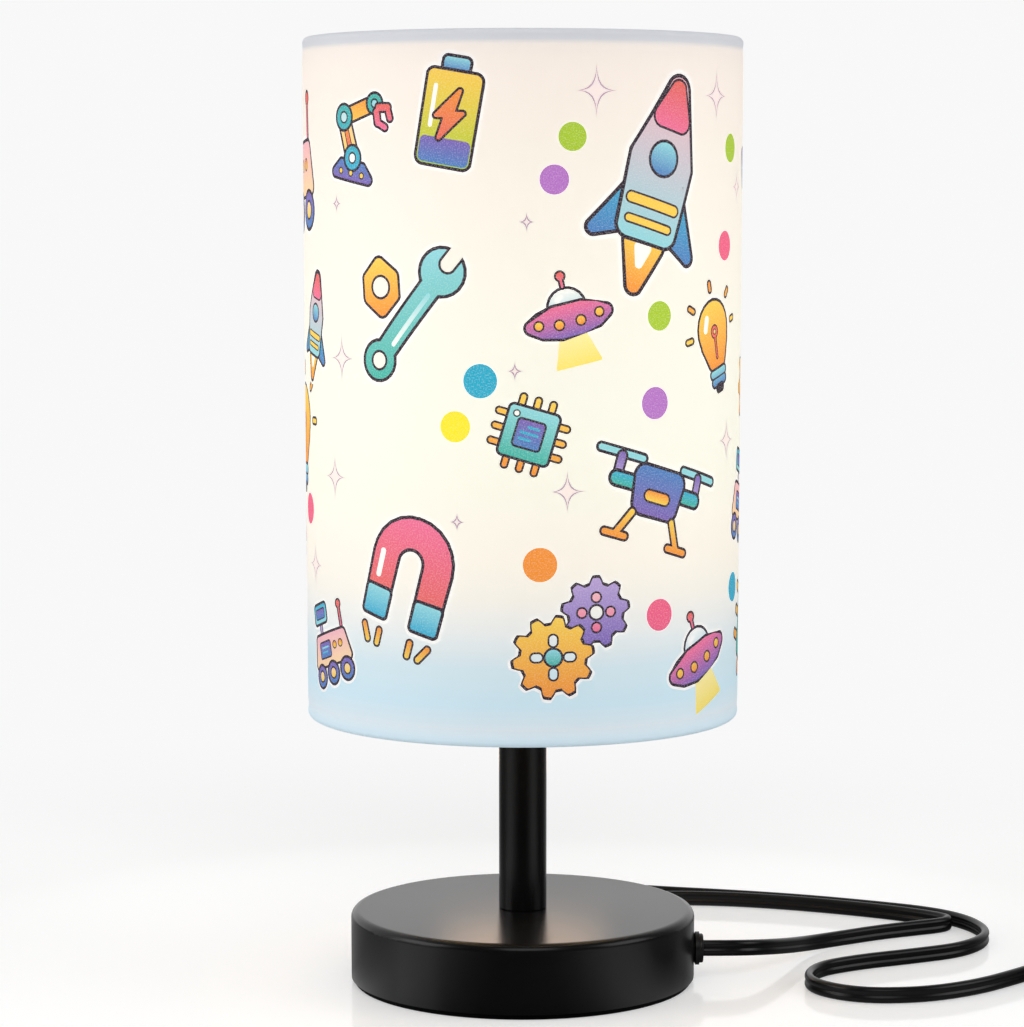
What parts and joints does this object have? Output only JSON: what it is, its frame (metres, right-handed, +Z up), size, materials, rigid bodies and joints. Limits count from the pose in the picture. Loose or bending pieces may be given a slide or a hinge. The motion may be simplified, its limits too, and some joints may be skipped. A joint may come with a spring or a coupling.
{
  "type": "table lamp",
  "caption": "Small table lamp: printed drum shade on a slim pole, round weighted base, screw-in candle bulb, flat twin cord with plug.",
  "frame": {"origin": "on the lamp's axis, at the surface it stands on", "axes": "+Z up along the pole; +X towards the cord outlet; +Y towards the shade's lap seam at the back"},
  "size_m": [0.2996, 0.2006, 0.2733],
  "materials": {
    "black_steel": "satin powder coat",
    "pad": "fine-celled foam, matte",
    "zinc_steel": "zinc plated",
    "iron": "as cast",
    "brass": "plain",
    "black_nylon": "fine texture",
    "black_moulding": "satin moulding",
    "module_case": "satin",
    "wire_insulation": "smooth",
    "ceramic": "unglazed",
    "nickel": "bright rolled",
    "black_glass": "glossy",
    "white_housing": "smooth",
    "opal": "opal, lit",
    "board": "white solder mask",
    "printed_fabric": "printed, fine plain weave",
    "shade_film": "translucent film",
    "white_wire": "white powder coat",
    "cord_pvc": "soft PVC, semi-gloss",
    "tie": "woven hook-and-loop strap"
  },
  "bodies": {
    "stand": {"base_pad": "pad", "base_plate": "zinc_steel", "base_screws": "zinc_steel", "base_shell": "black_steel", "base_weight": "iron", "cord_gland": "black_nylon", "touch_module": "module_case", "supply_leads": "wire_insulation", "lamp_leads": "wire_insulation", "sense_lug": "brass", "sense_lead": "wire_insulation", "threaded_rod": "zinc_steel", "rod_washer": "zinc_steel", "lock_washer": "zinc_steel", "rod_nut": "zinc_steel", "pole": "black_steel", "holder_nut": "zinc_steel", "holder_cap": "black_moulding", "holder_body": "black_moulding", "contact_block": "ceramic", "terminal_screws": "brass", "centre_contact": "brass", "screw_shell": "brass", "shell_rivets": "brass", "cord": "cord_pvc", "cord_coil": "cord_pvc", "coil_tie": "tie", "cord_tail": "cord_pvc", "plug_body": "cord_pvc", "plug_blades": "brass"},
    "shade": {"shade_fabric": "printed_fabric", "shade_liner": "shade_film", "shade_top_wire": "white_wire", "shade_bottom_wire": "white_wire", "spider_arms": "white_wire", "shade_carrier": "white_wire"},
    "retaining_ring": {"shade_ring": "black_moulding"},
    "bulb": {"bulb_cap": "nickel", "bulb_insulator": "black_glass", "bulb_contact": "brass", "bulb_housing": "white_housing", "bulb_globe": "opal", "led_board": "board"}
  },
  "joints": [
    {"name": "shade_lift", "type": "slide", "parent": "stand", "child": "shade", "axis": [0, 0, 1], "range_m": [0, 0.15]},
    {"name": "ring_turn", "type": "hinge", "parent": "shade", "child": "retaining_ring", "pos_m": [0, 0, 0.12], "axis": [0, 0, 1], "range_deg": [0, 1080]},
    {"name": "bulb_lift", "type": "slide", "parent": "stand", "child": "bulb", "axis": [0, 0, 1], "range_m": [0, 0.18]}
  ]
}
